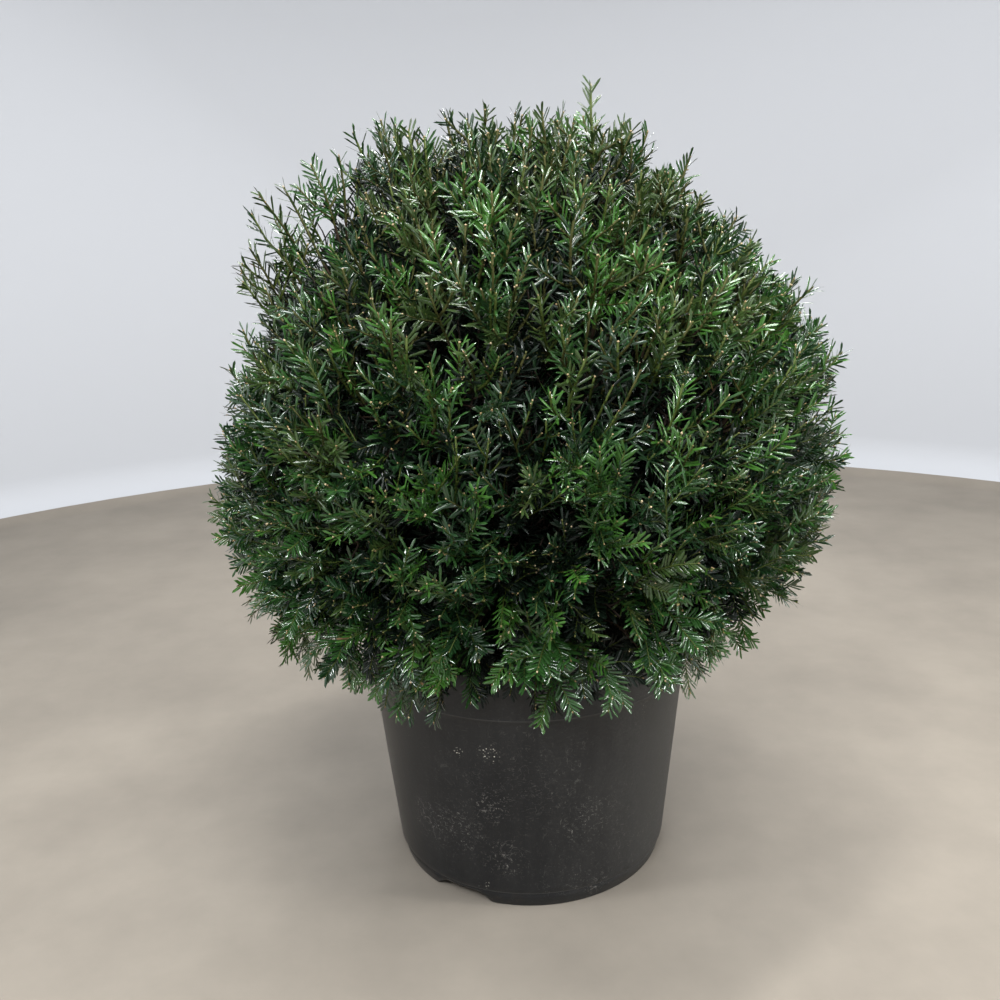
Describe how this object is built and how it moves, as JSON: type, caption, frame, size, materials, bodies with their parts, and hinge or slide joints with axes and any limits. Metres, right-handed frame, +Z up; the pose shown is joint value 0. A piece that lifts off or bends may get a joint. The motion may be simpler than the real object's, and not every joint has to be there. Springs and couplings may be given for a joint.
{
  "type": "english yew in a nursery pot",
  "caption": "Round bushy english yew with dense short needle sprays, grown in a plain black plastic nursery pot filled with compost.",
  "frame": {"origin": "middle of the pot's underside, at the level of its foot ring", "axes": "+Z up along the pot's axis and the trunk, -Y towards the front, +X to the right seen from the front"},
  "size_m": [0.7905, 0.8022, 0.9814],
  "materials": {
    "pot": "satin",
    "compost": "matte",
    "bark": "matte",
    "foliage": "satin"
  },
  "bodies": {
    "root": {"pot": "pot", "compost": "compost", "trunk": "bark", "bough_upper_front_left": "bark", "bough_upper_front_right": "bark", "bough_upper_right": "bark", "bough_upper_back": "bark", "bough_upper_left": "bark", "bough_lower_front": "bark", "bough_lower_front_right": "bark", "bough_lower_back_right": "bark", "bough_lower_back": "bark", "bough_lower_back_left": "bark", "bough_lower_front_left": "bark", "foliage_top": "foliage", "foliage_upper_front_left": "foliage", "foliage_upper_front_right": "foliage", "foliage_upper_right": "foliage", "foliage_upper_back": "foliage", "foliage_upper_left": "foliage", "foliage_lower_front": "foliage", "foliage_lower_front_right": "foliage", "foliage_lower_back_right": "foliage", "foliage_lower_back": "foliage", "foliage_lower_back_left": "foliage", "foliage_lower_front_left": "foliage"}
  },
  "joints": []
}
